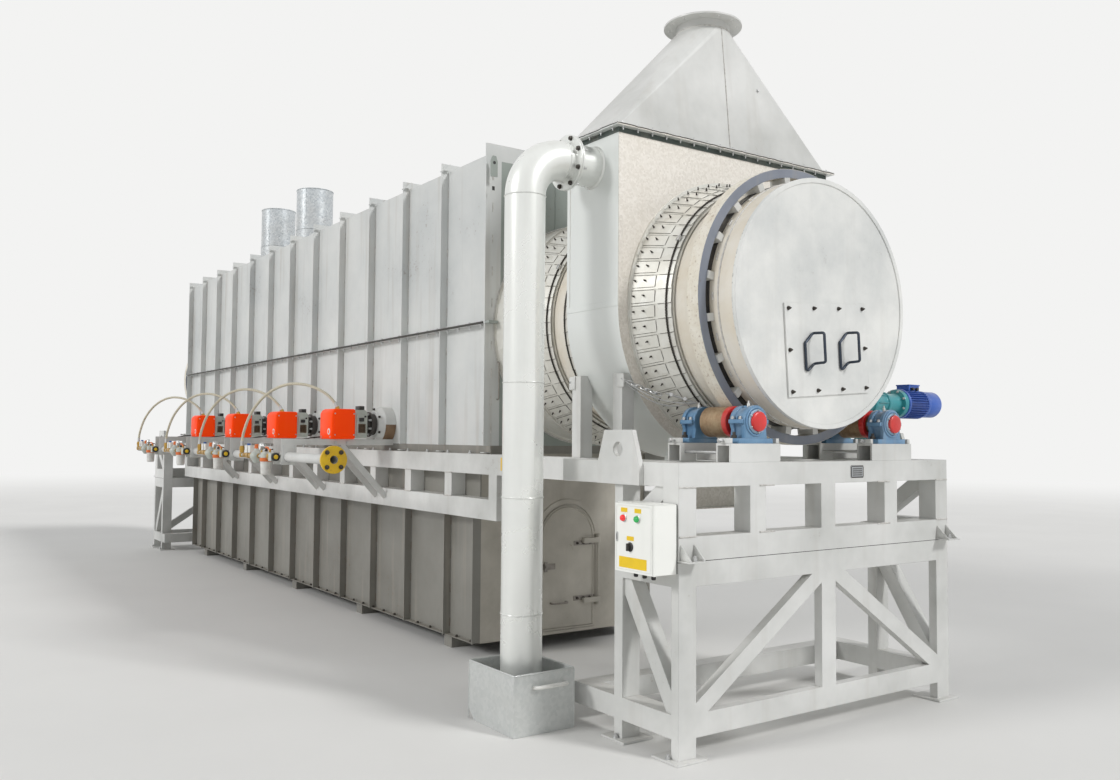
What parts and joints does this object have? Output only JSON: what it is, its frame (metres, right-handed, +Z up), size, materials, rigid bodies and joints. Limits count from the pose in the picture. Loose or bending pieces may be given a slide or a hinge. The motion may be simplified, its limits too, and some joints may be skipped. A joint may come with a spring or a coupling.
{
  "type": "gas fired rotary kiln",
  "caption": "Externally heated rotary kiln: a drum on rollers runs through a long ribbed furnace with a gas hood, burners, drive and steel stands.",
  "frame": {"origin": "on the ground under the middle of the furnace, below the drum axis", "axes": "+X along the drum towards its front end plate and gas hood, +Y towards the drive motor, +Z up"},
  "size_m": [11.38, 3.7399, 4.71],
  "materials": {
    "machine_paint": "light grey machine enamel, satin",
    "galvanised_sheet": "hot dip galvanised, spangled",
    "running_steel": "bare running surface with brown oxide",
    "block_blue": "steel blue enamel on castings",
    "burner_red": "red orange enamel",
    "burner_grey": "grey enamel on castings",
    "drive_teal": "teal enamel on castings",
    "motor_blue": "blue enamel on castings",
    "hose_braid": "ivory braided hose",
    "furnace_lining": "ceramic fibre lining"
  },
  "bodies": {
    "root": {"stand_face_frames": "machine_paint", "stand_side_frames": "machine_paint", "stand_cross_beams": "machine_paint", "lifting_plates": "machine_paint", "side_trusses": "machine_paint", "sleepers": "machine_paint", "base_side_walls": "machine_paint", "base_front_wall": "machine_paint", "base_rear_wall": "machine_paint", "furnace_floor": "furnace_lining", "furnace_lower_left_wall": "machine_paint", "furnace_lower_right_wall": "machine_paint", "furnace_lower_end_walls": "machine_paint", "furnace_upper_side_walls": "machine_paint", "furnace_upper_end_walls": "machine_paint", "furnace_roof": "machine_paint", "roof_stacks": "galvanised_sheet", "hood_casing": "galvanised_sheet", "hood_end_plates": "galvanised_sheet", "gas_transition": "machine_paint", "gas_outlet": "machine_paint", "drum_seals": "galvanised_sheet", "furnace_seals": "galvanised_sheet", "discharge_spout": "galvanised_sheet", "hood_posts": "machine_paint", "vent_elbow": "galvanised_sheet", "vent_pipe": "galvanised_sheet", "water_tank": "galvanised_sheet", "burner_bodies": "burner_grey", "burner_covers": "burner_red", "burner_brackets": "machine_paint", "gas_manifold": "machine_paint", "gas_trains": "burner_grey", "burner_hoses": "hose_braid", "control_box": "machine_paint", "bearing_pedestals": "machine_paint", "bearing_blocks": "block_blue", "gear_reducer": "drive_teal", "drive_motor": "motor_blue"},
    "drum": {"drum_shell": "machine_paint", "drum_front_plate": "machine_paint", "access_cover_plate": "machine_paint", "drum_rear_plate": "machine_paint", "riding_rings": "running_steel", "tyre_spacers": "machine_paint"},
    "front_left_roller": {"front_left_roller": "running_steel"},
    "front_right_roller": {"front_right_roller": "running_steel"},
    "rear_left_roller": {"rear_left_roller": "running_steel"},
    "rear_right_roller": {"rear_right_roller": "running_steel"},
    "inspection_door": {"inspection_door": "machine_paint"},
    "control_box_door": {"control_box_door": "machine_paint"}
  },
  "joints": [
    {"name": "drum_rotation", "type": "hinge", "parent": "root", "child": "drum", "pos_m": [0, 0, 2.41], "axis": [1, 0, 0], "continuous": true},
    {"name": "front_left_roller_rotation", "type": "hinge", "parent": "root", "child": "front_left_roller", "pos_m": [6.2, -0.585, 1.71897], "axis": [1, 0, 0], "continuous": true},
    {"name": "front_right_roller_rotation", "type": "hinge", "parent": "root", "child": "front_right_roller", "pos_m": [6.2, 0.585, 1.71897], "axis": [1, 0, 0], "continuous": true},
    {"name": "rear_left_roller_rotation", "type": "hinge", "parent": "root", "child": "rear_left_roller", "pos_m": [-4.6, -0.585, 1.71897], "axis": [1, 0, 0], "continuous": true},
    {"name": "rear_right_roller_rotation", "type": "hinge", "parent": "root", "child": "rear_right_roller", "pos_m": [-4.6, 0.585, 1.71897], "axis": [1, 0, 0], "continuous": true},
    {"name": "inspection_door_swing", "type": "hinge", "parent": "root", "child": "inspection_door", "pos_m": [3.895, 0.29, 0.575], "axis": [0, 0, 1], "range_deg": [0, 110]},
    {"name": "control_box_door_swing", "type": "hinge", "parent": "root", "child": "control_box_door", "pos_m": [6.444, -1.2945, 1.115], "axis": [0, 0, 1], "range_deg": [0, 110]}
  ],
  "couplings": [
    {"joint": "front_left_roller_rotation", "follows": "drum_rotation", "ratio": -9.6471},
    {"joint": "front_right_roller_rotation", "follows": "drum_rotation", "ratio": -9.6471},
    {"joint": "rear_left_roller_rotation", "follows": "drum_rotation", "ratio": -9.6471},
    {"joint": "rear_right_roller_rotation", "follows": "drum_rotation", "ratio": -9.6471}
  ]
}
